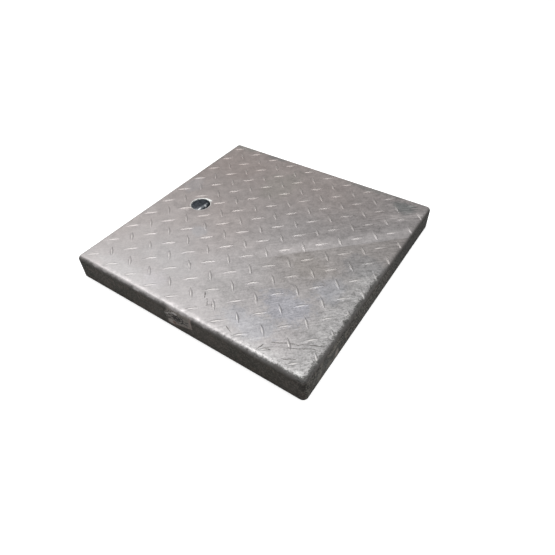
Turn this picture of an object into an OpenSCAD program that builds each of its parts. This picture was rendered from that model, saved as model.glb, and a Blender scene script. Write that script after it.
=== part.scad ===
// Square access cover pressed from one sheet of galvanised tread plate: a flat top with raised
// lozenges, four turned-down sides with rounded folds and corners, and a round lifting hole.
// A drawn cup with a round bar across it is welded under the hole, so that a lifting key can hook on.
// Origin: the middle of the rim's plane. +Z is up, and the lifting hole is near the -X side.

/* [Cover] */
// Size of the cover along X, over the sides
cover_w = 500; // [300:10:900]
// Size of the cover along Y, over the sides
cover_d = 500; // [300:10:900]
// Height from the rim to the top face, without the lozenges
cover_h = 48.5; // [40:0.5:90]
// Thickness of the sheet
sheet_t = 3; // [2:0.5:4.5]
// Outside radius of the folds along the four sides
fold_r = 8.6; // [6:0.2:14]
// What a corner's outside radius in plan has beyond the fold's
corner_more = 0.4; // [0.2:0.2:20]

/* [Tread pattern] */
// Distance along X between lozenges that lean the same way
tread_pitch_x = 49.3; // [40:0.1:70]
// Distance along Y between lozenges that lean the same way
tread_pitch_y = 51.05; // [40:0.05:70]
// Distance from the -X side to the first lozenge's middle
tread_start_x = 22.8; // [16:0.1:60]
// Distance from the +Y side to the first lozenge's middle
tread_start_y = 20.9; // [16:0.1:60]
// Length of a lozenge from tip to tip
tread_l = 30; // [20:0.5:34]
// Width of a lozenge at the top face
tread_w = 6.4; // [4:0.2:10]
// Height of a lozenge above the top face
tread_h = 1.4; // [0.8:0.1:2]
// Turn of a lozenge from the X axis, in degrees
tread_turn = 45; // [40:1:50]
// How far past the start of a fold a lozenge's middle may lie
tread_over = 1; // [0:0.5:3]

/* [Lifting point] */
// Diameter of the lifting hole in the top
hole_d = 40; // [30:1:50]
// Distance from the -X side to the hole's middle
hole_inset = 90; // [70:1:140]
// Inside diameter of the cup under the hole
cup_d = 56; // [52:1:70]
// Depth of the cup, from the underside of the top to the cup's floor
cup_depth = 25; // [23:0.5:28]
// Thickness of the cup's sheet
cup_t = 2; // [1.5:0.5:3]
// Inside radius between the cup's wall and its floor
cup_round = 9; // [4:0.5:10]
// Width of the cup's flat brim around its wall
brim_w = 9; // [6:0.5:14]
// Diameter of the lifting bar
bar_d = 8; // [6:0.5:9]
// Depth of the bar's axis below the underside of the top
bar_drop = 9.5; // [8:0.5:10]
// Length of the bar that stands out past the cup's wall at each end
bar_out = 3; // [2:0.5:5]
// Radial clearance between the bar and its holes in the cup
bar_gap = 0.15; // [0.1:0.05:0.3]

/* [Hidden] */

// Facets of round shapes in the preview
$fn = 96;
// Extra length of a cutting shape past a face
over = 1;

corner_r = fold_r + corner_more;
flat_w = cover_w - 2 * fold_r;
flat_d = cover_d - 2 * fold_r;
underside_z = cover_h - sheet_t;
hole_x = hole_inset - cover_w / 2;
cup_out_r = cup_d / 2 + cup_t;
brim_r = cup_out_r + brim_w;
bar_z = underside_z - bar_drop;
bar_l = 2 * (cup_out_r + bar_out);

// How deep a lozenge's root lies in the sheet
tread_root = sheet_t * 0.3;
// Share of a lozenge's width that its crest keeps
crest_share = 0.4;
// Places along half a lozenge where its section is drawn, from 0 in the middle to 1 at the tip
tread_cuts = [-0.62, 0, 0.62];
count_x = ceil(cover_w / tread_pitch_x);
count_y = ceil(cover_d / tread_pitch_y);

/* A point of the unfolded sheet, lift above its outer face, where the side folds put it. */
function folded(across, half_flat) =
    let (past = abs(across) - half_flat, turn = min(max(past / fold_r, 0), PI / 2) * 180 / PI)
    [sign(across), max(past - fold_r * PI / 2, 0), turn];
function out_of(across, lift, half_flat) =
    let (f = folded(across, half_flat))
    abs(across) <= half_flat ? across : f[0] * (half_flat + (fold_r + lift) * sin(f[2]));
function up_of(across, lift, half_flat) =
    let (f = folded(across, half_flat))
    cover_h - fold_r + (fold_r + lift) * cos(f[2]) - f[1];
function tread_point(u, v, lift) = [
    out_of(u, lift, flat_w / 2),
    out_of(v, lift, flat_d / 2),
    abs(v) > flat_d / 2 ? up_of(v, lift, flat_d / 2) : up_of(u, lift, flat_w / 2)
];

/* One raised lozenge: pointed at both tips, widest and highest in the middle, with a flat crest. */
function half_width(s, lift) = tread_w / 2 * (1 - s * s) * (1 - (1 - crest_share) * lift / tread_h);
function crest(s) = tread_h * sqrt(1 - s * s);
module lozenge(u, v, turn) {
    place = function (along, side, lift) tread_point(
        u + along * cos(turn) - side * sin(turn),
        v + along * sin(turn) + side * cos(turn),
        lift
    );
    last = len(tread_cuts) - 1;
    sections = [
        for (s = tread_cuts)
            let (along = s * tread_l / 2, low = half_width(s, -tread_root), high = half_width(s, crest(s)))
            each [
                place(along, low, -tread_root),
                place(along, high, crest(s)),
                place(along, -high, crest(s)),
                place(along, -low, -tread_root)
            ]
    ];
    tips = [place(-tread_l / 2, 0, -tread_root), place(tread_l / 2, 0, -tread_root)];
    tip_a = len(sections);
    tip_b = tip_a + 1;
    walls = [
        for (k = [0 : last - 1], q = [0 : 3])
            let (a = 4 * k + q, b = 4 * k + (q + 1) % 4)
            each [[a, a + 4, b], [b, a + 4, b + 4]]
    ];
    ends = [
        for (q = [0 : 3])
            let (n = (q + 1) % 4)
            each [[tip_a, q, n], [tip_b, 4 * last + n, 4 * last + q]]
    ];
    polyhedron(points = concat(sections, tips), faces = concat(walls, ends));
}

/* Both sets of lozenges: the second leans the other way and lies half a pitch on, both ways. */
module tread() {
    for (set = [0, 1], i = [0 : count_x], j = [0 : count_y]) {
        u = -cover_w / 2 + tread_start_x + tread_pitch_x * (i + set / 2);
        v = cover_d / 2 - tread_start_y - tread_pitch_y * (j + set / 2);
        on_top = abs(u) < flat_w / 2 + tread_over && abs(v) < flat_d / 2 + tread_over;
        in_hole = norm([u - hole_x, v]) < hole_d / 2;
        if (on_top && !in_hole)
            lozenge(u, v, set == 0 ? tread_turn : -tread_turn);
    }
}

/* A block with rounded upright corners and a rounded upper edge, standing on z = 0. */
module round_block(w, d, h, plan_r, top_r) {
    module post() {
        rotate_extrude() {
            square([plan_r, h - top_r]);
            square([plan_r - top_r, h]);
            translate([plan_r - top_r, h - top_r])
                intersection() {
                    circle(top_r);
                    square(top_r + over);
                }
        }
    }
    module bar(w, d) {
        rotate([90, 0, 90])
            linear_extrude(w, center = true) {
                translate([-d / 2, 0])
                    square([d, h - top_r]);
                translate([top_r - d / 2, 0])
                    square([d - 2 * top_r, h]);
                for (side = [-1, 1])
                    translate([side * (d / 2 - top_r), h - top_r])
                        circle(top_r);
            }
    }
    for (x = [-1, 1], y = [-1, 1])
        translate([x * (w / 2 - plan_r), y * (d / 2 - plan_r), 0])
            post();
    bar(w - 2 * plan_r, d);
    rotate(90)
        bar(d - 2 * plan_r, w);
}

/* The pressed sheet: top, folds, corners and sides, with its lozenges and its hole. */
module cover_plate() {
    color("darkgray")
    difference() {
        union() {
            difference() {
                round_block(cover_w, cover_d, cover_h, corner_r, fold_r);
                translate([0, 0, -over])
                    round_block(cover_w - 2 * sheet_t, cover_d - 2 * sheet_t, underside_z + over,
                        corner_r - sheet_t, fold_r - sheet_t);
            }
            tread();
        }
        translate([hole_x, 0, underside_z - over])
            cylinder(h = sheet_t + tread_h + 2 * over, d = hole_d);
    }
}

/* The inside or outside of the cup, mouth up at z = 0. */
module bowl(r, depth, round_r) {
    rotate_extrude() {
        translate([0, round_r - depth])
            square([r, depth - round_r]);
        translate([0, -depth])
            square([r - round_r, depth]);
        translate([r - round_r, round_r - depth])
            intersection() {
                circle(round_r);
                translate([0, -round_r - over])
                    square(round_r + over);
            }
    }
}

/* Drawn cup with a flat brim, welded to the underside of the top around the hole. */
module lifting_cup() {
    color("dimgray")
    translate([hole_x, 0, underside_z])
    difference() {
        union() {
            bowl(cup_out_r, cup_depth + cup_t, cup_round + cup_t);
            translate([0, 0, -cup_t])
                cylinder(h = cup_t, r = brim_r);
        }
        bowl(cup_d / 2, cup_depth, cup_round);
        translate([0, 0, -bar_drop])
            rotate([90, 0, 0])
                cylinder(h = 2 * brim_r, d = bar_d + 2 * bar_gap, center = true);
    }
}

/* Round bar across the cup, through its wall on both sides, that the lifting key hooks on. */
module lifting_bar() {
    color("silver")
    translate([hole_x, 0, bar_z])
        rotate([90, 0, 0])
            cylinder(h = bar_l, d = bar_d, center = true);
}

cover_plate();
lifting_cup();
lifting_bar();
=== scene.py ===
import math

import bpy
import bmesh
from mathutils import Matrix, Vector
from mathutils.geometry import delaunay_2d_cdt

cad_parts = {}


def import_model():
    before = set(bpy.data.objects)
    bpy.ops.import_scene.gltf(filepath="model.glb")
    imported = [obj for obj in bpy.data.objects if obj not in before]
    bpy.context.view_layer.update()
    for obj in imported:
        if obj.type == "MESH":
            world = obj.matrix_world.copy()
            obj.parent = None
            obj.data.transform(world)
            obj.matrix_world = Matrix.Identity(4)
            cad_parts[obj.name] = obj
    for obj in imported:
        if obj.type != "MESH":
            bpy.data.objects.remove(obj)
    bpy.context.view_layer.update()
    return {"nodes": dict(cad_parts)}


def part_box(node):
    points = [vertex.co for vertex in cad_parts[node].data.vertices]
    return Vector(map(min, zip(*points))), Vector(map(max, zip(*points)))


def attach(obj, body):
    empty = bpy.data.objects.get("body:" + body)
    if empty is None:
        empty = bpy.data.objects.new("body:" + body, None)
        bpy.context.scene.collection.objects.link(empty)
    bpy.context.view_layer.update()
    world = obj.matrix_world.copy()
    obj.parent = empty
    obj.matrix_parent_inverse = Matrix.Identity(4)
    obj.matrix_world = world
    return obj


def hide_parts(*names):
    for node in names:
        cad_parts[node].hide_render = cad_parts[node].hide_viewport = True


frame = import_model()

MM = 0.001

# Sizes of the sheet, as in the part's source
SHEET_T = 3 * MM
FOLD_R = 8.6 * MM
CORNER_MORE = 0.4 * MM
TREAD_PITCH_X = 49.3 * MM
TREAD_PITCH_Y = 51.05 * MM
TREAD_START_X = 22.8 * MM
TREAD_START_Y = 20.9 * MM
TREAD_L = 30 * MM
TREAD_W = 6.4 * MM
TREAD_H = 1.4 * MM
TREAD_TURN = math.radians(45)
TREAD_OVER = 1 * MM
HOLE_R = 20 * MM
HOLE_INSET = 90 * MM

# Small roundings that only the scene has: at the rim, at the hole's edge and round a lozenge's foot
RIM_ROUND = 0.5 * MM
HOLE_ROUND = 1.0 * MM
FOOT_MORE = 0.35 * MM

# Section of a lozenge: how full its crest is, and how soft its foot
CREST_POWER = 2.1
FOOT_POWER = 1.25

# Steps of the mesh
SIDE_STEP = 5 * MM
WRAP_STEP = 2.5 * MM
FOLD_STEPS = 12
INNER_FOLD_STEPS = 8
ROUND_STEPS = 4
CORNER_STEPS = 10
HOLE_STEPS = 96
LENS_STEPS = 13
LENS_RINGS = (0.14, 0.3, 0.46, 0.6, 0.72, 0.82, 0.9, 0.96, 1.0)

# Where loose points of the mesh stop: the share of a lozenge just past its foot, the share that
# keeps clear of it, and the distance that keeps clear of the hole's edge
PAST_FOOT = 1.06
CLEAR_OF_FOOT = 1.12
CLEAR_OF_HOLE = 1.3 * HOLE_ROUND

# A triangle lies in the hole where its middle is nearer than this, on the top and underneath
TOP_HOLE_R = HOLE_R + HOLE_ROUND * 0.99
UNDER_HOLE_R = HOLE_R * 0.9999

# A foot ring can hold only what is nearer than this to its lozenge's middle
FOOT_REACH = TREAD_L * 0.6

# Vertices closer than this are one, and the same for the triangulation's own points, in metres
WELD = 0.004 * MM
SAME_POINT = 1e-7

LOW, HIGH = (Vector(corner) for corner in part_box("cover_plate"))
TOP_Z = HIGH.z - TREAD_H
HALF_W = (HIGH.x - LOW.x) / 2
HALF_D = (HIGH.y - LOW.y) / 2
FLAT_X = HALF_W - FOLD_R
FLAT_Y = HALF_D - FOLD_R
FOLD_ARC = FOLD_R * math.pi / 2
HOLE_X = HOLE_INSET - HALF_W


# The sheet's form


def rounded_rise(share):
    """Height of a lozenge, as a share, where share is 0 in its middle and 1 at its foot."""
    if share >= 1:
        return 0.0
    return (1 - share ** CREST_POWER) ** FOOT_POWER


def folded(u, v, lift=0.0):
    """A point of the unfolded top, lift above its face, with the +X fold turned down."""
    past = u - FLAT_X
    if past <= 0:
        return Vector((u, v, TOP_Z + lift))
    turn = min(past / FOLD_R, math.pi / 2)
    straight = max(past - FOLD_ARC, 0.0)
    reach = FOLD_R + lift
    x = FLAT_X + reach * math.sin(turn)
    return Vector((x, v, TOP_Z - FOLD_R + reach * math.cos(turn) - straight))


def lozenges():
    """Middle and turn of every lozenge: two sets, the second half a pitch on and leaning back."""
    places = []
    for turned in (0, 1):
        for i in range(math.ceil(2 * HALF_W / TREAD_PITCH_X) + 1):
            for j in range(math.ceil(2 * HALF_D / TREAD_PITCH_Y) + 1):
                u = -HALF_W + TREAD_START_X + TREAD_PITCH_X * (i + turned / 2)
                v = HALF_D - TREAD_START_Y - TREAD_PITCH_Y * (j + turned / 2)
                on_top = abs(u) < FLAT_X + TREAD_OVER and abs(v) < FLAT_Y + TREAD_OVER
                in_hole = math.hypot(u - HOLE_X, v) < HOLE_R
                if on_top and not in_hole:
                    places.append((u, v, -TREAD_TURN if turned else TREAD_TURN))
    return places


def lens_outline():
    """The pointed outline of a lozenge, as shares of half its length and half its width."""
    along = [-math.cos(math.pi * k / LENS_STEPS) for k in range(LENS_STEPS + 1)]
    near = [(s, -(1 - s * s)) for s in along]
    far = [(s, 1 - s * s) for s in reversed(along[1:-1])]
    return near + far


def on_sheet(place, along, side):
    """Where a point of a lozenge lies on the unfolded sheet."""
    u, v, turn = place
    cos, sin = math.cos(turn), math.sin(turn)
    return (u + along * cos - side * sin, v + along * sin + side * cos)


def lens_ring(place, share):
    """The lozenge's outline drawn in to a share of its size."""
    return [
        on_sheet(place, share * s * TREAD_L / 2, share * w * TREAD_W / 2)
        for s, w in lens_outline()
    ]


def lens_share(place, u, v):
    """How far out in a lozenge a point of the sheet lies: 0 in the middle, 1 at the foot."""
    du, dv = u - place[0], v - place[1]
    cos, sin = math.cos(place[2]), math.sin(place[2])
    along = abs(du * cos + dv * sin) / (TREAD_L / 2)
    side = abs(dv * cos - du * sin) / (TREAD_W / 2)
    # The ring of share q has half width q * (1 - (along / q) ** 2), which is solved for q
    return (side + math.sqrt(side * side + 4 * along * along)) / 2


def foot_ring(place):
    """The flat ring just outside a lozenge's foot."""
    ring = []
    for s, w in lens_outline():
        along = s * (TREAD_L / 2 + FOOT_MORE)
        side = w * TREAD_W / 2 + math.copysign(FOOT_MORE, w) * (1 - s * s) ** 0.5
        ring.append(on_sheet(place, along, side))
    return ring


def from_hole(u, v):
    """Distance of a place on the sheet from the hole's middle."""
    return math.hypot(u - HOLE_X, v)


def touches_hole(place):
    """Does the hole cut into this lozenge?"""
    return any(from_hole(*p) < HOLE_R + 2 * HOLE_ROUND for p in foot_ring(place))


class Skin:
    """Gathers the sheet's vertices and faces, and welds what coincides."""

    def __init__(self):
        self.mesh = bmesh.new()
        self.known = {}

    def vert(self, point):
        """The vertex at a point, new or known."""
        key = tuple(round(c / WELD) for c in point)
        if key not in self.known:
            self.known[key] = self.mesh.verts.new(point)
        return self.known[key]

    def face(self, points):
        """A face on points, unless it has no area or is there already."""
        corners = []
        for point in points:
            corner = self.vert(point)
            if corner not in corners:
                corners.append(corner)
        if len(corners) > 2 and self.mesh.faces.get(corners) is None:
            self.mesh.faces.new(corners)

    def strip(self, rows, closed=False):
        """Quads between rows of points; a closed strip joins each row's end to its start."""
        for a, b in zip(rows, rows[1:]):
            n = len(a)
            for k in range(n if closed else n - 1):
                self.face((a[k], a[(k + 1) % n], b[(k + 1) % n], b[k]))

    def piece(self, name):
        """A scene object from the faces, turned outwards and smooth."""
        bmesh.ops.recalc_face_normals(self.mesh, faces=self.mesh.faces)
        for face in self.mesh.faces:
            face.smooth = True
        mesh = bpy.data.meshes.new(name)
        self.mesh.to_mesh(mesh)
        self.mesh.free()
        piece = bpy.data.objects.new(name, mesh)
        bpy.context.collection.objects.link(piece)
        return piece


def steps(start, end, step):
    """Even places from start to end, about step apart."""
    count = max(1, round(abs(end - start) / step))
    return [start + (end - start) * k / count for k in range(count + 1)]


def quarter_turn(count):
    """Angles from 0 to a quarter turn, in count steps."""
    return [math.pi / 2 * k / count for k in range(count + 1)]


def corner_arc(side_x, side_y, start):
    """Points and outward directions round one corner of the flat top, a quarter turn from start."""
    middle = Vector((side_x * (FLAT_X - CORNER_MORE), side_y * (FLAT_Y - CORNER_MORE)))
    out = []
    for turn in quarter_turn(CORNER_STEPS):
        way = Vector((math.cos(start + turn), math.sin(start + turn)))
        out.append((middle + CORNER_MORE * way, way))
    return out


def runs():
    """The flat top's edge as runs of points with outward directions, in turn from the +X side."""
    end_x, end_y = FLAT_X - CORNER_MORE, FLAT_Y - CORNER_MORE
    quarter = math.pi / 2
    plus_x = [(Vector((FLAT_X, y)), Vector((1, 0))) for y in steps(-end_y, end_y, WRAP_STEP)]
    plus_y = [(Vector((x, FLAT_Y)), Vector((0, 1))) for x in steps(end_x, -end_x, SIDE_STEP)]
    minus_x = [(Vector((-FLAT_X, y)), Vector((-1, 0))) for y in steps(end_y, -end_y, SIDE_STEP)]
    minus_y = [(Vector((x, -FLAT_Y)), Vector((0, -1))) for x in steps(-end_x, end_x, SIDE_STEP)]
    return [
        ("plus_x", plus_x),
        ("corner", corner_arc(1, 1, 0)),
        ("plus_y", plus_y),
        ("corner", corner_arc(-1, 1, quarter)),
        ("minus_x", minus_x),
        ("corner", corner_arc(-1, -1, 2 * quarter)),
        ("minus_y", minus_y),
        ("corner", corner_arc(1, -1, 3 * quarter)),
    ]


def fold_profile():
    """The outer fold as (outwards, height) from the flat top's edge."""
    return [
        (FOLD_R * math.sin(t), TOP_Z - FOLD_R + FOLD_R * math.cos(t))
        for t in quarter_turn(FOLD_STEPS)
    ]


def side_profile():
    """From the foot of the outer fold down the side, round the rim and up to the underside."""
    quarter = quarter_turn(ROUND_STEPS)
    inner = FOLD_R - SHEET_T
    points = [(FOLD_R, z) for z in steps(TOP_Z - FOLD_R, RIM_ROUND, SIDE_STEP)]
    points += [
        (FOLD_R - RIM_ROUND + RIM_ROUND * math.cos(t), RIM_ROUND - RIM_ROUND * math.sin(t))
        for t in quarter[1:]
    ]
    points += [
        (inner + RIM_ROUND - RIM_ROUND * math.sin(t), RIM_ROUND - RIM_ROUND * math.cos(t))
        for t in quarter
    ]
    points += [(inner, z) for z in steps(RIM_ROUND, TOP_Z - FOLD_R, SIDE_STEP)[1:]]
    points += [
        (inner * math.cos(t), TOP_Z - FOLD_R + inner * math.sin(t))
        for t in quarter_turn(INNER_FOLD_STEPS)[1:]
    ]
    return points


def around(run, profile):
    """Rows of points: the profile swept along a run."""
    return [[Vector((*(p + out * way), z)) for p, way in run] for out, z in profile]


def hole_ring(radius, lift=0.0):
    """A ring of points round the lifting hole, lift above the top face."""
    turns = [2 * math.pi * k / HOLE_STEPS for k in range(HOLE_STEPS)]
    return [
        Vector((HOLE_X + radius * math.cos(t), radius * math.sin(t), TOP_Z + lift))
        for t in turns
    ]


def triangles_inside(loops, loose=()):
    """Triangles between loops of (u, v) points: the first is the outer edge, the others holes."""
    coords, edges = [], []
    for loop in loops:
        start = len(coords)
        coords += [Vector(p) for p in loop]
        edges += [(start + k, start + (k + 1) % len(loop)) for k in range(len(loop))]
    coords += [Vector(p) for p in loose]
    verts, _, faces, _, _, _ = delaunay_2d_cdt(coords, edges, [], 0, SAME_POINT, False)
    return [[tuple(verts[k]) for k in face] for face in faces]


def middle_of(triangle):
    """The middle of three (u, v) points."""
    return sum(p[0] for p in triangle) / 3, sum(p[1] for p in triangle) / 3


def top_loop():
    """The edge of the patch that is meshed as one: the flat top with the +X fold, unfolded."""
    end_y = FLAT_Y - CORNER_MORE
    turned = steps(0, FOLD_ARC, FOLD_ARC / FOLD_STEPS)
    loop = []
    for name, run in runs():
        if name == "plus_x":
            loop += [(FLAT_X + arc, -end_y) for arc in turned[:-1]]
            loop += [(FLAT_X + FOLD_ARC, p.y) for p, _ in run]
            loop += [(FLAT_X + arc, end_y) for arc in reversed(turned[:-1])]
        else:
            loop += [tuple(p) for p, _ in run[1:]]
    return loop[:-1]


def inside_top(u, v):
    """Is this place of the unfolded sheet on the patch?"""
    if abs(v) > FLAT_Y or u < -FLAT_X:
        return False
    if u <= FLAT_X:
        corner = Vector((abs(u) - FLAT_X + CORNER_MORE, abs(v) - FLAT_Y + CORNER_MORE))
        return corner.x < 0 or corner.y < 0 or corner.length < CORNER_MORE
    return abs(v) < FLAT_Y - CORNER_MORE


def inside_loop(loop, u, v):
    """Is this place inside a closed loop of points?"""
    inside = False
    for (ua, va), (ub, vb) in zip(loop, loop[1:] + loop[:1]):
        if (va > v) != (vb > v) and u < ua + (ub - ua) * (v - va) / (vb - va):
            inside = not inside
    return inside


def in_a_foot(feet, places, u, v):
    """Is this place inside the foot ring of a lozenge? Only lozenges near it are tried."""
    return any(
        inside_loop(foot, u, v)
        for foot, p in zip(feet, places)
        if math.hypot(u - p[0], v - p[1]) < FOOT_REACH
    )


def loose_points(cut, whole):
    """Points that the triangles meet: on lozenges that the hole cuts, and down the +X fold."""
    points = []
    for place in cut:
        for share in (*LENS_RINGS, PAST_FOOT):
            ring = lens_ring(place, share)
            points += [p for p in ring if from_hole(*p) > HOLE_R + CLEAR_OF_HOLE]
    near_fold = [p for p in whole if p[0] > FLAT_X - TREAD_L]
    for k, arc in enumerate(steps(0, FOLD_ARC, FOLD_ARC / FOLD_STEPS)[:-1]):
        for y in steps(-FLAT_Y + 2 * WRAP_STEP, FLAT_Y - 2 * WRAP_STEP, WRAP_STEP):
            u, v = FLAT_X + arc, y + WRAP_STEP / 2 * (k % 2)
            if all(lens_share(p, u, v) > CLEAR_OF_FOOT for p in near_fold):
                points.append((u, v))
    return points


def add_lozenge(skin, place, foot):
    """One raised lozenge, from its foot ring up to its crest."""
    rows = [[folded(*p) for p in foot]]
    for share in reversed(LENS_RINGS):
        lift = TREAD_H * rounded_rise(share)
        rows.append([folded(*p, lift) for p in lens_ring(place, share)])
    skin.strip(rows, closed=True)
    crest = folded(place[0], place[1], TREAD_H)
    last = rows[-1]
    for k, point in enumerate(last):
        skin.face((point, last[(k + 1) % len(last)], crest))


def add_hole(skin, rise):
    """The hole's rounded edge and its wall, down to the underside."""
    rings = [
        hole_ring(HOLE_R + HOLE_ROUND * (1 - math.sin(t)), HOLE_ROUND * (math.cos(t) - 1))
        for t in quarter_turn(ROUND_STEPS)
    ]
    for depth, ring in enumerate(rings):
        share = 1 - depth / (len(rings) - 1)
        for point in ring:
            point.z += share * rise(point.x, point.y)
    rings.append(hole_ring(HOLE_R, -SHEET_T))
    skin.strip(rings, closed=True)


def add_top(skin):
    """The outer face of the top and of the +X fold, with every lozenge and the hole's edge."""
    places = lozenges()
    cut = [p for p in places if touches_hole(p)]
    whole = [p for p in places if not touches_hole(p)]
    feet = [foot_ring(p) for p in whole]

    def rise(u, v):
        """How high the lozenges that the hole cuts stand at a place."""
        return TREAD_H * max([rounded_rise(lens_share(p, u, v)) for p in cut], default=0.0)

    edge = [(p.x, p.y) for p in hole_ring(HOLE_R + HOLE_ROUND)]
    for tri in triangles_inside([top_loop(), edge, *feet], loose_points(cut, whole)):
        u, v = middle_of(tri)
        in_hole = from_hole(u, v) < TOP_HOLE_R
        if not in_hole and inside_top(u, v) and not in_a_foot(feet, whole, u, v):
            skin.face([folded(*p, rise(*p)) for p in tri])
    for place, foot in zip(whole, feet):
        add_lozenge(skin, place, foot)
    add_hole(skin, rise)


def add_sides(skin):
    """The folds, corners, sides, rim and the plain inside, swept round the top."""
    whole = fold_profile() + side_profile()[1:]
    for name, run in runs():
        skin.strip(around(run, side_profile() if name == "plus_x" else whole))


def add_underside(skin):
    """The flat underside of the top, round the hole."""
    edge = [tuple(p) for _, run in runs() for p, _ in run[1:]]
    hole = [(p.x, p.y) for p in hole_ring(HOLE_R)]
    for tri in triangles_inside([edge, hole]):
        u, v = middle_of(tri)
        if from_hole(u, v) > UNDER_HOLE_R and inside_top(min(u, FLAT_X), v):
            skin.face([Vector((*p, TOP_Z - SHEET_T)) for p in tri])


def make_cover():
    """The whole pressed sheet as one closed piece."""
    skin = Skin()
    add_top(skin)
    add_sides(skin)
    add_underside(skin)
    return skin.piece("tread_plate_cover")


# Materials: ways to write nodes


def nodes_of(name):
    """A new material, its node tree and its shader."""
    material = bpy.data.materials.new(name)
    material.use_nodes = True
    tree = material.node_tree
    return material, tree, tree.nodes["Principled BSDF"]


class Graph:
    """Short ways to add nodes and link them."""

    def __init__(self, tree):
        self.tree = tree
        self.coord = tree.nodes.new("ShaderNodeTexCoord").outputs["Object"]

    def put(self, socket, value):
        """Link a socket to another one, or set its value."""
        if isinstance(value, bpy.types.NodeSocket):
            self.tree.links.new(value, socket)
        else:
            socket.default_value = value

    def calc(self, kind, a, b=0.0):
        """A math node on one or two values."""
        node = self.tree.nodes.new("ShaderNodeMath")
        node.operation = kind
        for socket, value in zip(node.inputs, (a, b)):
            self.put(socket, value)
        return node.outputs[0]

    def chain(self, kind, values):
        """The same kind of math node over all the values, from the left."""
        total = values[0]
        for value in values[1:]:
            total = self.calc(kind, total, value)
        return total

    def times(self, *values):
        """The product of the values."""
        return self.chain("MULTIPLY", values)

    def plus(self, *values):
        """The sum of the values."""
        return self.chain("ADD", values)

    def minus(self, a, b):
        """The first value less the second."""
        return self.calc("SUBTRACT", a, b)

    def most(self, *values):
        """The largest of the values."""
        return self.chain("MAXIMUM", values)

    def swing(self, noise, depth, middle=0.5):
        """A noise swung about 0 and scaled by depth."""
        return self.times(self.minus(noise, middle), depth)

    def ease(self, value, low, high, out_low=0.0, out_high=1.0):
        """A smooth step of value: out_low at low, out_high at high."""
        node = self.tree.nodes.new("ShaderNodeMapRange")
        node.interpolation_type = "SMOOTHSTEP"
        for socket, v in zip(node.inputs, (value, low, high, out_low, out_high)):
            self.put(socket, v)
        return node.outputs[0]

    def fade(self, value, low, high):
        """A smooth step down: 1 below low and 0 above high."""
        return self.ease(value, low, high, 1.0, 0.0)

    def mapped(self, at, turn=0.0, scale=(1, 1, 1)):
        """Places turned about Z or scaled."""
        node = self.tree.nodes.new("ShaderNodeMapping")
        self.put(node.inputs["Vector"], at)
        node.inputs["Rotation"].default_value = (0, 0, turn)
        node.inputs["Scale"].default_value = scale
        return node.outputs[0]

    def combed_along(self, turn, scale):
        """Places turned and then scaled, for a noise with a grain along a line."""
        return self.mapped(self.mapped(self.coord, turn=-turn), scale=scale)

    def noise(self, scale, detail, rough, seed, at=None):
        """A noise with scale features to the metre."""
        node = self.tree.nodes.new("ShaderNodeTexNoise")
        node.noise_dimensions = "4D"
        node.inputs["W"].default_value = seed
        node.inputs["Scale"].default_value = scale
        node.inputs["Detail"].default_value = detail
        node.inputs["Roughness"].default_value = rough
        self.put(node.inputs["Vector"], at or self.coord)
        return node.outputs["Fac"]

    def mix(self, share, a, b, kind="MIX"):
        """A colour mix: share of b over a."""
        node = self.tree.nodes.new("ShaderNodeMix")
        node.data_type = "RGBA"
        node.blend_type = kind
        self.put(node.inputs["Factor"], share)
        for socket, v in zip((node.inputs[6], node.inputs[7]), (a, b)):
            self.put(socket, (*v, 1) if isinstance(v, tuple) and len(v) == 3 else v)
        return node.outputs[2]

    def layered(self, colour, layers):
        """A colour with layers of (mask, colour) over it, the last on top."""
        for mask, over in layers:
            colour = self.mix(mask, colour, over)
        return colour

    def shaded(self, colour, level):
        """A colour times a grey level."""
        node = self.tree.nodes.new("ShaderNodeCombineColor")
        for socket in node.inputs:
            self.put(socket, level)
        return self.mix(1.0, colour, node.outputs[0], "MULTIPLY")

    def axes(self, at=None):
        """X, Y and Z of a place or a direction."""
        node = self.tree.nodes.new("ShaderNodeSeparateXYZ")
        self.put(node.inputs[0], at or self.coord)
        return node.outputs

    def bump(self, height, strength, distance):
        """A normal from a height."""
        node = self.tree.nodes.new("ShaderNodeBump")
        node.inputs["Strength"].default_value = strength
        node.inputs["Distance"].default_value = distance
        self.put(node.inputs["Height"], height)
        return node.outputs[0]

    def dress(self, shader, colour, metallic, rough, normal):
        """Set what every metal here sets on its shader."""
        self.put(shader.inputs["Base Color"], colour)
        self.put(shader.inputs["Metallic"], metallic)
        self.put(shader.inputs["Roughness"], rough)
        self.put(shader.inputs["Normal"], normal)


# A spot, as shares of its half sizes: where it is full, where it ends and how far noise moves that
SPOT_FULL = 0.55
SPOT_END = 1.15
SPOT_SWING = 4

# A stroke, as shares of its half width: where it is full and how far noise moves it aside
STROKE_FULL = 0.3
STROKE_SWING = 6


def spot(g, at, middle, size, wobble, ragged):
    """A soft ragged spot: 1 in its middle, 0 outside, in the plane of two axes."""
    far = [g.calc("DIVIDE", g.minus(axis, c), r) for axis, c, r in zip(at, middle, size)]
    away = g.calc("SQRT", g.plus(g.times(far[0], far[0]), g.times(far[1], far[1])))
    return g.fade(g.plus(away, g.swing(wobble, ragged * SPOT_SWING)), SPOT_FULL, SPOT_END)


def from_line(g, at, start, turn):
    """Distances along and past a line through start, in the plane of two axes."""
    cos, sin = math.cos(turn), math.sin(turn)
    dx, dy = g.minus(at[0], start[0]), g.minus(at[1], start[1])
    along = g.plus(g.times(dx, cos), g.times(dy, sin))
    past = g.minus(g.times(dx, sin), g.times(dy, cos))
    return along, past


def stroke(g, at, start, end, width, wobble):
    """A thin ragged stroke from start to end, in the plane of two axes."""
    length = math.dist(start, end)
    along, past = from_line(g, at, start, math.atan2(end[1] - start[1], end[0] - start[0]))
    across = g.calc("ABSOLUTE", g.minus(g.swing(wobble, width * STROKE_SWING), past))
    inside = g.times(g.ease(along, -width, width), g.fade(along, length - width, length + width))
    return g.times(inside, g.fade(across, width * STROKE_FULL, width))


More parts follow.
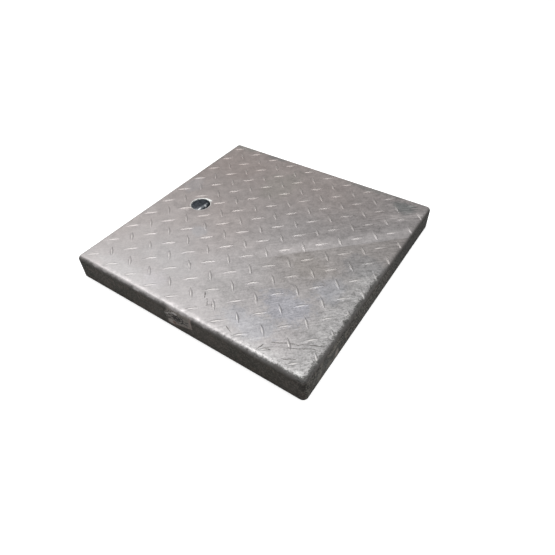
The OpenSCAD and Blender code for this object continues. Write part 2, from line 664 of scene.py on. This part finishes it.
# The galvanised sheet. Places are in metres, and colours are linear.

# Diagonal marks on the top: the turn of each and a point on its line
BAND_TURN = math.radians(44.3)
BAND_AT = (0.128, 0.014)
SECOND_TURN = math.radians(39)
SECOND_AT = (0.208, 0.184)

# Colours of the top
NEUTRAL = (0.392, 0.374, 0.373)
PINKISH = (0.410, 0.361, 0.344)
BROWNER = (0.300, 0.275, 0.258)
CRUST = (0.362, 0.359, 0.356)
WORN_CREST = (0.385, 0.370, 0.355)
SCRATCHED = (0.07, 0.065, 0.06)
PITTED = (0.06, 0.06, 0.055)
GRIMY = (0.055, 0.055, 0.050)
# Bare metal at the hole, brightened as a painted highlight
BARE_METAL_GLINT = (0.82, 0.83, 0.81)

# Colours of the sides, whose dark base is painted shade
SIDE_PAINTED_DARK = (0.016, 0.016, 0.012)
SIDE_PAINTED_PALE = (0.044, 0.038, 0.033)
SIDE_BROWN = (0.085, 0.066, 0.055)
SIDE_SPECK = (0.130, 0.125, 0.108)
SIDE_BLACK = (0.002, 0.002, 0.002)
SIDE_DUST = (0.075, 0.066, 0.058)
SIDE_FLAKE = (0.190, 0.178, 0.155)
SIDE_SOOT = (0.004, 0.004, 0.003)
SIDE_SHADE = (0.008, 0.008, 0.007)
UPPER_SIDE_LIGHT = (0.110, 0.104, 0.100)
KNOCK_DARK = (0.006, 0.006, 0.005)
KNOCK_PALE = (0.230, 0.222, 0.200)
RIM_PAINTED_SHADE = (0.012, 0.011, 0.010)

# Colours of the inside
INSIDE_DARK = (0.270, 0.272, 0.276)
INSIDE_PALE = (0.350, 0.352, 0.356)
SPANGLE = (0.420, 0.422, 0.428)

# Stains on the top, and one painted highlight: middle, half sizes, colour, share and raggedness.
# The slate ones have edges combed along the second diagonal mark.
BLUISH = (0.362, 0.361, 0.380)
SLATE = (0.200, 0.205, 0.203)
PALE = (0.440, 0.430, 0.430)
STAINS = (
    ((0.208, 0.012), (0.042, 0.034), (0.235, 0.240, 0.256), 0.80, 0.9),
    ((0.188, -0.072), (0.030, 0.034), (0.350, 0.352, 0.378), 0.8, 0.9),
    ((0.150, -0.140), (0.046, 0.036), (0.350, 0.350, 0.380), 0.8, 0.9),
    ((0.120, -0.205), (0.050, 0.030), BLUISH, 0.7, 0.9),
    ((-0.088, -0.215), (0.028, 0.022), (0.430, 0.410, 0.424), 0.5, 0.8),
    ((-0.222, 0.050), (0.024, 0.030), (0.378, 0.362, 0.368), 0.5, 0.8),
    ((-0.103, -0.072), (0.017, 0.016), (0.405, 0.398, 0.410), 0.6, 0.8),
    ((-0.090, -0.160), (0.080, 0.030), PALE, 0.3, 1.0),
    ((0.030, -0.165), (0.040, 0.030), (0.335, 0.322, 0.318), 0.6, 1.0),
    ((-0.150, -0.225), (0.090, 0.020), PALE, 0.5, 0.9),
    ((0.130, -0.040), (0.050, 0.030), (0.300, 0.280, 0.265), 0.6, 1.0),
    ((0.203, 0.214), (0.026, 0.020), SLATE, 0.9, 0.8),
    ((-0.128, 0.238), (0.030, 0.007), SLATE, 0.6, 0.7),
    ((-0.235, 0.242), (0.070, 0.014), (0.265, 0.262, 0.246), 0.6, 0.8),
    ((-0.246, 0.180), (0.010, 0.060), (0.275, 0.270, 0.255), 0.5, 0.8),
    ((-0.055, 0.150), (0.045, 0.060), (0.318, 0.300, 0.278), 0.55, 0.9),
    ((-0.175, 0.170), (0.060, 0.060), (0.342, 0.296, 0.280), 0.5, 0.9),
    # Painted highlight, not a stain: the bright spot at the front right corner
    ((0.233, -0.241), (0.010, 0.006), (0.640, 0.630, 0.620), 0.7, 0.9),
    ((0.120, 0.238), (0.060, 0.009), (0.250, 0.245, 0.235), 0.6, 0.8),
)

# Fine dark scratches on the top: start and end
SCRATCH_W = 1.2 * MM
SCRATCHES = (
    ((0.159, -0.225), (0.156, -0.241)),
    ((0.163, -0.233), (0.174, -0.227)),
    ((0.026, -0.199), (0.036, -0.211)),
    ((0.034, -0.212), (0.044, -0.205)),
    ((0.167, -0.216), (0.240, -0.178)),
    ((0.190, -0.214), (0.230, -0.190)),
    ((0.013, -0.190), (0.022, -0.200)),
    ((0.196, -0.232), (0.216, -0.222)),
    ((0.090, -0.228), (0.104, -0.234)),
)


class Zinc(Graph):
    """The sheet's nodes, with the noises and zones that its layers share."""

    def __init__(self, tree):
        super().__init__(tree)
        self.x, self.y, self.z = self.axes()
        self.plan = (self.x, self.y)
        self.soft = self.noise(7, 3, 0.5, 1)
        self.cloud = self.noise(24, 4, 0.6, 2)
        self.blotch = self.noise(75, 4, 0.65, 3)
        self.grain = self.noise(420, 3, 0.7, 4)
        self.speck = self.noise(260, 2, 0.6, 5)
        self.drawn = self.noise(60, 4, 0.6, 6, self.combed_along(BAND_TURN, (0.4, 6, 1)))
        self.combed = self.noise(110, 4, 0.65, 9, self.combed_along(SECOND_TURN, (0.3, 2.6, 1)))
        self.mottle = self.plus(self.times(self.blotch, 0.6), self.times(self.cloud, 0.4))
        self.bumpy = self.plus(self.times(self.speck, 0.5), self.times(self.blotch, 0.5))
        # The lozenges' crests and flanks, and what keeps the flanks calm
        self.crest = self.ease(self.z, TOP_Z + 0.7 * MM, TOP_Z + 1.3 * MM)
        self.flank = self.ease(self.z, TOP_Z + 0.05 * MM, TOP_Z + 0.5 * MM)
        self.calm = self.minus(1.0, self.times(self.flank, 0.75))
        # Crust along the right edge and at the front corner
        self.crusty = self.most(
            self.times(self.ease(self.x, 0.170, 0.240), self.fade(self.y, -0.02, 0.06)),
            self.times(self.ease(self.x, 0.05, 0.18), self.ease(self.y, -0.240, -0.215, 0.8, 0.0)),
        )

    def by_side(self, front, right):
        """One value on the right side and another on the front."""
        return self.ease(self.x, HALF_W - 2 * MM, HALF_W - 1 * MM, front, right)


def top_tint(g):
    """Warm pinkish grey at the back and nearly neutral at the front, with painted shade toward the
    back and right, and the stains over it.
    """
    warm = g.minus(g.times(g.y, 0.7), g.times(g.x, 0.5))
    warm = g.plus(warm, g.swing(g.soft, 0.35))
    # Painted shade: the top is darker toward the back and toward the right
    painted_falloff = g.times(g.ease(g.y, -0.12, 0.10, 0.98, 0.83), g.ease(g.x, 0.0, 0.15, 1.0, 0.93))
    tint = g.shaded(g.mix(g.ease(warm, -0.15, 0.3), NEUTRAL, PINKISH), painted_falloff)
    torn = g.plus(g.times(g.combed, 0.7), g.times(g.mottle, 0.3))
    for middle, size, colour, share, ragged in STAINS:
        wobble = torn if colour == SLATE else g.mottle
        stain = spot(g, g.plan, middle, size, wobble, ragged)
        tint = g.mix(g.times(stain, share), tint, colour)
    return tint


def diagonal_marks(g, tint):
    """Diagonal marks: a pale band with one sharp edge, a browner strip past it, and thin streaks.
    """
    ripple = g.plus(
        g.swing(g.cloud, 0.30),
        g.swing(g.blotch, 0.50),
        g.swing(g.speck, 0.50),
        g.swing(g.grain, 0.55),
        g.swing(g.drawn, 0.40),
    )
    level = g.plus(1.0, g.times(ripple, g.ease(g.x, -0.10, 0.20, 0.75, 1.35), g.calm))
    wander = g.swing(g.blotch, 8 * MM)

    along, past = from_line(g, g.plan, BAND_AT, BAND_TURN)
    past = g.plus(past, wander)
    band = g.times(g.ease(past, -0.036, -0.016), g.fade(past, -0.001, 0.0015))
    band = g.times(band, g.ease(along, -0.16, -0.02))
    level = g.plus(level, g.times(band, 0.30))
    brown = g.times(g.ease(past, 0.0, 0.002), g.fade(past, 0.05, 0.13))
    brown = g.times(brown, g.ease(along, -0.16, -0.05))
    tint = g.mix(g.times(brown, 0.45), tint, BROWNER)

    along, past = from_line(g, g.plan, SECOND_AT, SECOND_TURN)
    past = g.calc("ABSOLUTE", g.plus(past, wander))
    second = g.times(g.fade(past, 0.004, 0.011), g.ease(along, -0.045, -0.010))
    level = g.plus(level, g.times(second, g.ease(g.drawn, 0.40, 0.62, 0.10, 0.50)))

    streaks = g.times(g.ease(g.drawn, 0.54, 0.68), g.ease(g.x, -0.02, 0.12))
    level = g.plus(level, g.times(streaks, 0.14))
    streaky = g.times(g.ease(g.x, 0.10, 0.19), g.ease(g.y, -0.06, 0.02, 0.0, 0.9))
    return tint, g.plus(level, g.times(g.swing(g.combed, streaky), g.calm))


def crusted(g, tint, level):
    """Scurf on the crust and on the blue stain, and a duller patch behind the front corner."""
    scurf = g.noise(300, 5, 0.75, 7, g.combed_along(BAND_TURN, (0.55, 1.3, 1)))
    scurf = g.ease(scurf, 0.36, 0.64, -0.27, 0.38)
    scurf = g.times(scurf, g.ease(g.mottle, 0.42, 0.56, 0.2, 1.0))
    patch = g.times(spot(g, g.plan, (0.140, -0.150), (0.060, 0.050), g.mottle, 0.9), 0.45)
    level = g.plus(level, g.times(scurf, g.most(g.crusty, patch), g.calm))
    tint = g.mix(g.times(g.crusty, 0.7), tint, CRUST)
    dull = g.times(g.ease(g.x, 0.0, 0.10), g.ease(g.y, -0.22, -0.18), g.fade(g.y, -0.09, -0.04))
    return tint, g.minus(level, g.times(dull, 0.08))


def wear_and_painted_light(g, tint, level):
    """Worn crests with a painted highlight stronger toward the front, a painted highlight on the
    front fold, and darker far edges.
    """
    # Crests and flanks lighter toward the front: crest wear, with painted highlight
    level = g.plus(level, g.times(g.crest, g.ease(g.y, -0.2, 0.1, 0.22, -0.04)))
    level = g.plus(level, g.times(g.flank, g.ease(g.y, -0.2, 0.0, 0.12, 0.0)))
    tint = g.mix(g.times(g.crest, 0.5), tint, WORN_CREST)
    # Painted highlight along the front edge of the top
    edge = g.times(
        g.fade(g.y, -FLAT_Y + 1 * MM, -FLAT_Y + 7 * MM),
        g.ease(g.z, TOP_Z - 0.25 * MM, TOP_Z),
        g.ease(g.x, 0.10, 0.20, 1.0, 0.55),
        g.ease(g.x, -0.24, -0.12, 0.2, 1.0),
    )
    level = g.plus(level, g.times(edge, g.ease(g.blotch, 0.35, 0.65, 0.05, 0.42)))
    # Painted highlight down the front fold, mottled
    painted_fold_highlight = g.times(
        g.ease(g.y, -FLAT_Y - 5.5 * MM, -FLAT_Y - 2.5 * MM),
        g.fade(g.y, -FLAT_Y, -FLAT_Y + 2 * MM),
        g.fade(g.x, 0.20, 0.23),
        g.ease(g.x, -0.08, 0.12, 0.10, 1.0),
    )
    level = g.plus(level, g.times(painted_fold_highlight, g.ease(g.mottle, 0.46, 0.58, 0.0, 0.50)))
    corner = g.times(g.ease(g.x, 0.19, 0.235), g.fade(g.y, -0.24, -0.2))
    level = g.minus(level, g.times(corner, 0.08))
    far_x = g.ease(g.x, -0.2495, -0.2435, 0.55, 1.0)
    far_y = g.ease(g.y, 0.2435, 0.2495, 1.0, 0.6)
    return tint, g.times(level, far_x, far_y)


def top_colour(g):
    """The top: tint and level, then scratches, pits and the ragged grime at the folds."""
    top = g.shaded(*wear_and_painted_light(g, *crusted(g, *diagonal_marks(g, top_tint(g)))))
    lines = [stroke(g, g.plan, start, end, SCRATCH_W, g.blotch) for start, end in SCRATCHES]
    scratch = g.times(g.most(*lines), g.ease(g.speck, 0.40, 0.52, 0.2, 0.8))
    pits = g.ease(g.noise(270, 3, 0.65, 8), 0.56, 0.61)
    near = g.most(g.ease(g.x, 0.222, 0.246), g.fade(g.y, -0.247, -0.228))
    ragged = g.plus(g.times(g.bumpy, 0.75), g.times(g.grain, 0.25))
    turned = g.most(g.minus(g.x, FLAT_X), g.minus(-FLAT_Y - 3 * MM, g.y))
    grime = g.ease(g.plus(turned, g.swing(ragged, 60 * MM)), -0.5 * MM, 4 * MM)
    return g.layered(top, (
        (scratch, SCRATCHED),
        (g.times(pits, near, g.crusty, 0.75), PITTED),
        (g.times(grime, g.crusty, 0.8), GRIMY),
    ))


def shaded_side_share(g):
    """Where the sides' dark grey, painted shade, takes over from the top's: a ragged border down
    the folds.
    """
    depth = g.plus(1.2 * MM, g.times(g.crusty, 9 * MM))
    height = g.plus(g.z, g.swing(g.bumpy, depth, 0.47))
    height = g.minus(height, g.times(g.crusty, 0.6 * MM))
    lap = g.ease(g.y, -FLAT_Y - 1 * MM, -FLAT_Y, 14 * MM, 0.0)
    return g.fade(g.plus(height, g.swing(g.mottle, lap, 0.47)), TOP_Z - 3.6 * MM, TOP_Z)


def scraped(g, side):
    """The scrape on the front: an upright right end, a sloping underside and no upper end."""
    front = g.fade(g.y, -HALF_D + 4 * MM, -HALF_D + 5 * MM)
    under = g.minus(g.minus(g.z, 12 * MM), g.times(g.x, 0.28))
    ragged = g.plus(g.x, g.swing(g.mottle, 0.03))
    inside = g.times(g.fade(g.x, 0.0315, 0.033), g.ease(under, 0.0, 1.5 * MM), front)
    inside = g.times(inside, g.ease(ragged, -0.028, -0.018))
    rim = g.most(g.ease(g.x, 0.026, 0.031), g.ease(under, 4 * MM, 1 * MM))
    side = g.layered(side, (
        (g.times(inside, g.ease(g.speck, 0.36, 0.5, 0.6, 0.95)), (0.175, 0.160, 0.146)),
        (g.times(rim, inside, 0.6), (0.230, 0.180, 0.165)),
    ))
    # Marks on it: a pale foot, dark claws, a pale spot, two pale strokes and a red-brown blotch
    at = (g.x, g.z)
    foot = spot(g, at, (-0.015, 0.013), (0.009, 0.006), g.mottle, 0.5)
    claws = spot(g, at, (-0.001, 0.030), (0.021, 0.009), g.speck, 1.3)
    high = spot(g, at, (-0.003, 0.040), (0.007, 0.003), g.mottle, 0.5)
    long = stroke(g, at, (-0.028, 0.028), (-0.005, 0.040), 1.8 * MM, g.speck)
    short = stroke(g, at, (-0.027, 0.022), (-0.010, 0.031), 1.1 * MM, g.speck)
    rust = spot(g, at, (-0.009, 0.014), (0.004, 0.004), g.speck, 0.4)
    return g.layered(side, (
        (g.times(foot, front, 0.8), (0.280, 0.255, 0.235)),
        (g.times(claws, front, 0.92), (0.006, 0.005, 0.005)),
        (g.times(high, front, 0.8), (0.420, 0.400, 0.390)),
        (g.times(long, front, 0.8), (0.330, 0.315, 0.305)),
        (g.times(short, front, 0.7), (0.230, 0.215, 0.205)),
        (g.times(rust, front, 0.8), (0.110, 0.050, 0.040)),
    ))


def side_colour(g):
    """Dark grey painted as shade, spottier on the right, with a paler strip under the folds painted
    as light.
    """
    right = g.by_side(0.0, 1.0)
    close = g.times(right, g.fade(g.y, -0.16, -0.09))
    # The dark base of the sides is painted shade
    side = g.layered(g.mix(g.ease(g.cloud, 0.38, 0.62), SIDE_PAINTED_DARK, SIDE_PAINTED_PALE), (
        (g.times(g.ease(g.blotch, 0.50, 0.62), g.by_side(0.55, 0.8)), SIDE_BROWN),
        (g.times(g.ease(g.speck, 0.50, 0.58), g.by_side(0.35, 0.9)), SIDE_SPECK),
        (g.times(g.ease(g.speck, 0.49, 0.41), g.by_side(0.35, 0.9)), SIDE_BLACK),
        (g.times(g.ease(g.x, -0.20, -0.05, 0.0, 0.25), g.by_side(1.0, 0.0)), SIDE_DUST),
        (g.times(close, g.ease(g.blotch, 0.52, 0.58, 0.0, 0.6)), SIDE_FLAKE),
        (g.times(close, g.ease(g.blotch, 0.47, 0.41, 0.0, 0.8)), SIDE_SOOT),
        (g.times(right, g.ease(g.y, -0.02, 0.14, 0.0, 0.70)), SIDE_SHADE),
        # Painted light: the sides are paler just under the folds
        (g.ease(g.z, TOP_Z - 9 * MM, TOP_Z - 2 * MM), UPPER_SIDE_LIGHT),
    ))
    side = scraped(g, side)
    rub = spot(g, (g.y, g.z), (-0.155, 0.014), (0.006, 0.011), g.speck, 0.4)
    dust = spot(g, (g.y, g.z), (-0.190, 0.020), (0.045, 0.020), g.mottle, 0.9)
    knocked = g.times(g.ease(g.x, 0.222, 0.240), g.fade(g.y, -0.238, -0.215))
    flecks = g.noise(190, 6, 0.85, 10)
    return g.layered(side, (
        (g.times(rub, right, 0.75), (0.300, 0.260, 0.235)),
        (g.times(dust, right, 0.4), (0.105, 0.105, 0.098)),
        (g.times(knocked, g.ease(flecks, 0.53, 0.43, 0.0, 0.75)), KNOCK_DARK),
        (g.times(knocked, g.ease(flecks, 0.54, 0.64, 0.0, 0.60)), KNOCK_PALE),
        # Painted shade along the foot of the sides, at the floor
        (g.times(g.fade(g.z, 0.5 * MM, 2.5 * MM), 0.7), RIM_PAINTED_SHADE),
    ))


def inside_share(g):
    """Where the sheet faces the inside, or down."""
    normal = g.axes(g.tree.nodes.new("ShaderNodeNewGeometry").outputs["True Normal"])
    outwards = g.plus(g.times(normal[0], g.x), g.times(normal[1], g.y))
    outwards = g.plus(g.calc("DIVIDE", outwards, HALF_W), normal[2])
    return g.fade(outwards, -0.4, -0.1)


def inside_colour(g):
    """Plain zinc grey with a faint spangle."""
    plain = g.mix(g.ease(g.cloud, 0.35, 0.65), INSIDE_DARK, INSIDE_PALE)
    return g.mix(g.times(g.ease(g.blotch, 0.45, 0.65), 0.35), plain, SPANGLE)


def bare_and_glint_share(g):
    """Bright at the hole: its edge and a halo round it, bare metal with painted highlight, and a
    painted highlight in an arc behind it.
    """
    dx = g.calc("POWER", g.minus(g.x, HOLE_X), 2.0)
    away = g.calc("SQRT", g.plus(dx, g.times(g.y, g.y)))
    edge = g.fade(away, HOLE_R + 0.3 * MM, HOLE_R + 1.2 * MM)
    halo = g.ease(away, HOLE_R + 1 * MM, HOLE_R + 3.5 * MM, 0.35, 0.0)
    middle = (HOLE_X + 5 * MM, HOLE_R + 1 * MM)
    arc = spot(g, g.plan, middle, (10 * MM, 3 * MM), g.mottle, 0.3)
    return g.times(g.most(edge, halo, arc), g.ease(g.z, 0.9 * TOP_Z, 0.91 * TOP_Z))


def galvanised():
    """Weathered hot-dip zinc: warm grey on the trodden top, dark grey painted as shade down the
    sides.
    """
    material, tree, shader = nodes_of("galvanised_sheet")
    g = Zinc(tree)
    # The sides' painted shade takes over from the top where the folds turn down
    on_shaded_side, inner, bare_and_glint = shaded_side_share(g), inside_share(g), bare_and_glint_share(g)
    colour = g.layered(top_colour(g), (
        (on_shaded_side, side_colour(g)),
        (inner, inside_colour(g)),
        (bare_and_glint, BARE_METAL_GLINT),
    ))
    on_shaded_side = g.times(on_shaded_side, g.minus(1.0, inner), g.minus(1.0, bare_and_glint))
    metallic = g.ease(on_shaded_side, 0.0, 1.0, 0.6, 0.0)
    rough = g.most(g.ease(g.blotch, 0.3, 0.7, 0.42, 0.54), g.times(on_shaded_side, 0.75))
    rise = g.plus(g.times(g.grain, 0.6), g.times(g.blotch, 1.2))
    g.dress(shader, colour, metallic, rough, g.bump(rise, 0.35, 0.3 * MM))
    shader.inputs["Specular IOR Level"].default_value = 0.12
    return material


# The cup and the bar


def cup_steel():
    """Drawn and galvanised sheet, in shade under the hole: slate grey, mottled."""
    material, tree, shader = nodes_of("cup_steel")
    g = Graph(tree)
    cloud = g.noise(90, 4, 0.6, 11)
    grain = g.noise(420, 3, 0.7, 12)
    colour = g.mix(g.ease(cloud, 0.35, 0.65), (0.26, 0.285, 0.315), (0.42, 0.45, 0.49))
    colour = g.mix(g.times(g.ease(grain, 0.45, 0.7), 0.4), colour, (0.20, 0.215, 0.235))
    rough = g.ease(cloud, 0.3, 0.7, 0.45, 0.6)
    g.dress(shader, colour, 0.3, rough, g.bump(grain, 0.3, 0.2 * MM))
    return material


def bar_steel():
    """Round bar: grey and dull, with bright bare patches at its near end and on its far flank,
    painted highlights.
    """
    material, tree, shader = nodes_of("bar_steel")
    g = Graph(tree)
    x, y, z = g.axes()
    grain = g.noise(420, 3, 0.7, 13)
    cloud = g.noise(160, 3, 0.6, 14)
    colour = g.mix(g.ease(cloud, 0.35, 0.65), (0.10, 0.11, 0.125), (0.19, 0.205, 0.22))
    # Painted highlights: the bright near end of the bar and a bright spot on its far flank
    near_x = g.fade(x, HOLE_X + 0.5 * MM, HOLE_X + 2.5 * MM)
    near = g.times(g.fade(y, -5 * MM, 1.5 * MM), near_x)
    far = spot(g, (y, z), (10.5 * MM, 37.5 * MM), (3.2 * MM, 2.8 * MM), grain, 0.3)
    far = g.times(far, g.ease(x, HOLE_X, HOLE_X + 1.5 * MM))
    bare_and_glint = g.most(near, g.times(far, 0.8))
    rough = g.ease(bare_and_glint, 0.0, 1.0, 0.5, 0.25)
    colour = g.mix(bare_and_glint, colour, (0.93, 0.94, 0.95))
    g.dress(shader, colour, 0.35, rough, g.bump(grain, 0.2, 0.1 * MM))
    return material


# Stage, lamps and camera

FLOOR_HALF = 12.0
FLOOR_GREY = 0.8
# How far the floor is lifted to white where the camera or a glossy ray sees it
FLOOR_LIFT = 0.6

CAMERA_AT = (0.41275, -0.5465, 0.59825)
CAMERA_RIGHT = (0.830724, 0.556379, -0.018431)
CAMERA_DOWN = (0.382189, -0.594089, -0.707806)
CAMERA_AHEAD = (-0.404758, 0.580947, -0.706166)
CAMERA_FOCAL_PX = 445.88
PHOTO_PX = 555
SENSOR_MM = 36


def floor():
    """A white floor with the object's shadow, lifted to white for the camera and glossy rays."""
    mesh = bpy.data.meshes.new("floor")
    corners = [(x * FLOOR_HALF, y * FLOOR_HALF, 0) for x, y in ((-1, -1), (1, -1), (1, 1), (-1, 1))]
    mesh.from_pydata(corners, [], [(0, 1, 2, 3)])
    plane = bpy.data.objects.new("floor", mesh)
    bpy.context.collection.objects.link(plane)
    material, tree, shader = nodes_of("floor_white")
    g = Graph(tree)
    shader.inputs["Base Color"].default_value = (FLOOR_GREY, FLOOR_GREY, FLOOR_GREY, 1)
    shader.inputs["Roughness"].default_value = 1.0
    shader.inputs["Specular IOR Level"].default_value = 0.0
    path = tree.nodes.new("ShaderNodeLightPath").outputs
    seen = g.most(path["Is Camera Ray"], path["Is Glossy Ray"], path["Is Transmission Ray"])
    shader.inputs["Emission Color"].default_value = (1, 1, 1, 1)
    g.put(shader.inputs["Emission Strength"], g.times(seen, FLOOR_LIFT))
    mesh.materials.append(material)


def lamp(name, at, aim, size, power):
    """A rectangular lamp."""
    light = bpy.data.lights.new(name, "AREA")
    light.shape = "RECTANGLE"
    light.size, light.size_y = size
    light.energy = power
    holder = bpy.data.objects.new(name, light)
    holder.location = at
    holder.rotation_euler = (Vector(aim) - Vector(at)).to_track_quat("-Z", "Y").to_euler()
    bpy.context.collection.objects.link(holder)


def world(low, high):
    """A plain grey studio: low at the horizon, high overhead and white where it is seen."""
    sky = bpy.data.worlds.new("studio")
    sky.use_nodes = True
    tree = sky.node_tree
    g = Graph(tree)
    up = g.axes(tree.nodes.new("ShaderNodeTexCoord").outputs["Generated"])[2]
    path = tree.nodes.new("ShaderNodeLightPath").outputs
    level = g.most(
        g.ease(up, 0.0, 0.9, low, high),
        path["Is Camera Ray"],
        path["Is Transmission Ray"],
        g.times(path["Is Glossy Ray"], g.fade(up, 0.0, 0.35)),
    )
    background = tree.nodes["Background"]
    g.put(background.inputs["Strength"], level)
    background.inputs["Color"].default_value = (1, 1, 1, 1)
    bpy.context.scene.world = sky


def camera():
    """The camera that took the photo, as fitted to the cover's outline."""
    data = bpy.data.cameras.new("photo_camera")
    data.sensor_width = SENSOR_MM
    data.lens = CAMERA_FOCAL_PX / PHOTO_PX * data.sensor_width
    holder = bpy.data.objects.new("photo_camera", data)
    up, back = [-c for c in CAMERA_DOWN], [-c for c in CAMERA_AHEAD]
    turn = Matrix((CAMERA_RIGHT, up, back)).transposed()
    holder.matrix_world = Matrix.Translation(CAMERA_AT) @ turn.to_4x4()
    bpy.context.collection.objects.link(holder)
    bpy.context.scene.camera = holder


cover = make_cover()
cover.data.materials.append(galvanised())
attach(cover, "root")
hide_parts("cover_plate")
for node, material in (("lifting_cup", cup_steel()), ("lifting_bar", bar_steel())):
    piece = frame["nodes"][node]
    piece.data.materials.clear()
    piece.data.materials.append(material)
floor()
world(low=0.13, high=0.5)
lamp("overhead", at=(-0.7, 0.05, 1.5), aim=(-0.7, 0.05, 0), size=(3.2, 0.9), power=32)
camera()

scene = bpy.context.scene
scene.view_settings.view_transform = "Standard"
